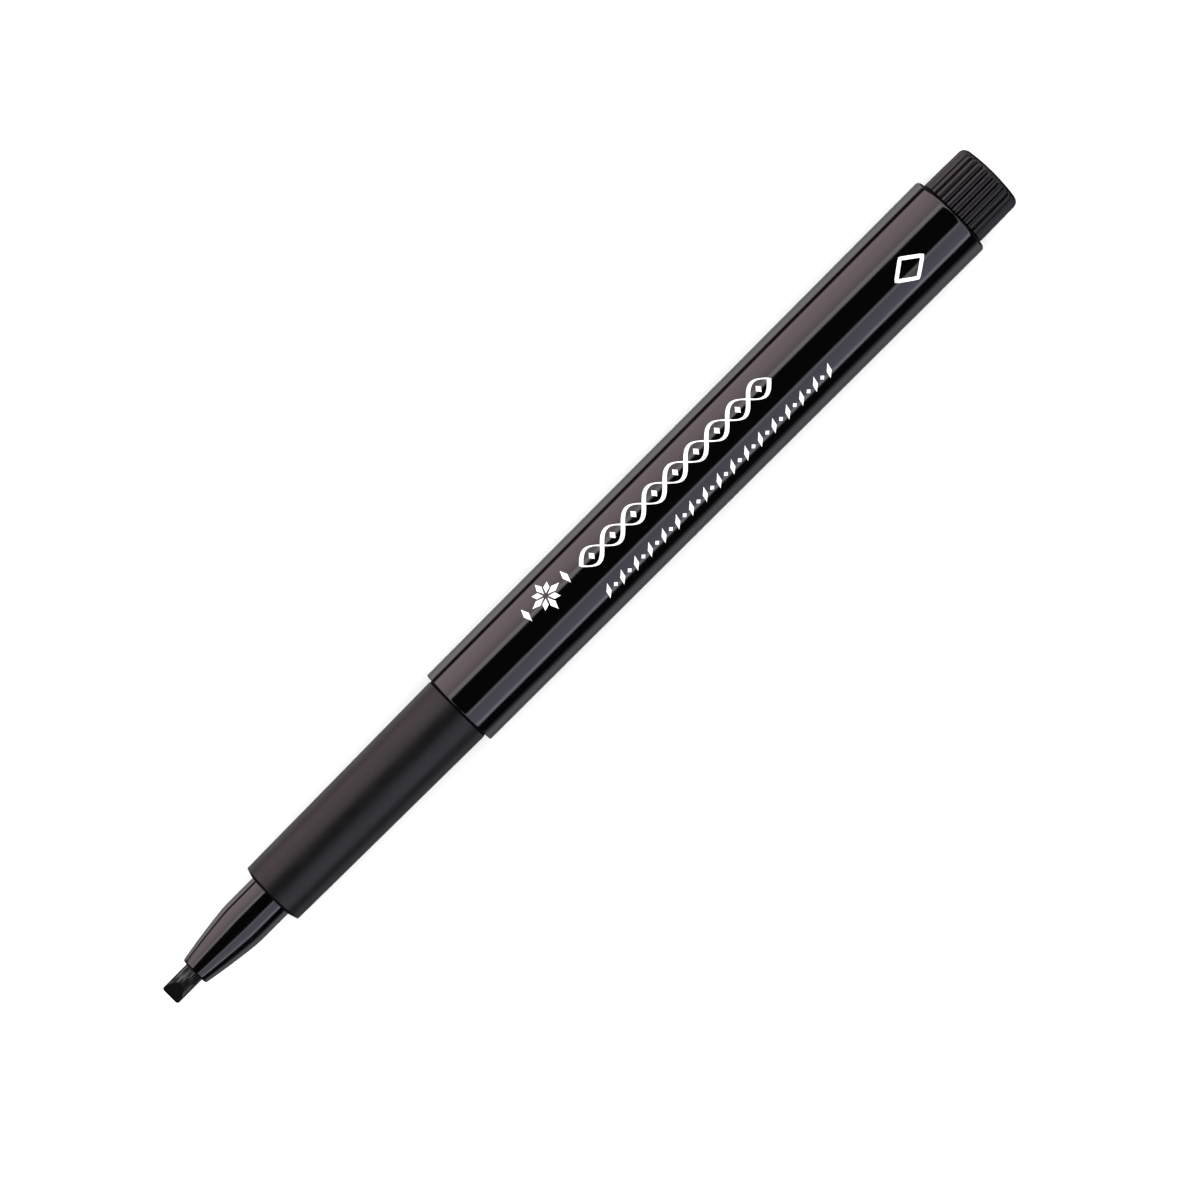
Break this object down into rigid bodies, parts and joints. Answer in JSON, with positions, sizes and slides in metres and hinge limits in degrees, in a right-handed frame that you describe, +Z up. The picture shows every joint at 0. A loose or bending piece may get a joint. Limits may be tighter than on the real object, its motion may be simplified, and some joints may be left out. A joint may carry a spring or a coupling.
{
  "type": "calligraphy marker",
  "caption": "Felt-tip calligraphy marker with its cap off: chisel fibre nib in a glossy cone, matte grip section, glossy slightly tapered barrel and ribbed end plug.",
  "frame": {"origin": "on the surface that the pen lies on, under the middle of its length", "axes": "+X along the pen from the nib to the end plug, +Z up, +Y across; the chisel's broad edge lies along Y"},
  "size_m": [0.1324, 0.0108, 0.0107],
  "materials": {
    "gloss_black": "polished moulded plastic",
    "matte_black": "fine even spark-eroded grain",
    "satin_black": "satin moulded plastic",
    "inked_fibre": "pressed fibre soaked in black ink",
    "reservoir_fibre": "bundled polyester fibre soaked in black ink",
    "clear_film": "clear plastic film",
    "tube_plastic": "natural translucent plastic",
    "white_print": "thin white pad-printed ink"
  },
  "bodies": {
    "pen": {"barrel": "gloss_black", "grip_sleeve": "matte_black", "nib_holder": "gloss_black", "ink_reservoir": "reservoir_fibre", "reservoir_film": "clear_film", "breather_tube": "tube_plastic"},
    "nib": {"nib": "inked_fibre"},
    "end_plug": {"end_plug": "satin_black"}
  },
  "joints": [
    {"name": "nib_pull", "type": "slide", "parent": "pen", "child": "nib", "axis": [-1, 0, 0], "range_m": [0, 0.02]},
    {"name": "end_plug_pull", "type": "slide", "parent": "pen", "child": "end_plug", "axis": [1, 0, 0], "range_m": [0, 0.008]}
  ]
}
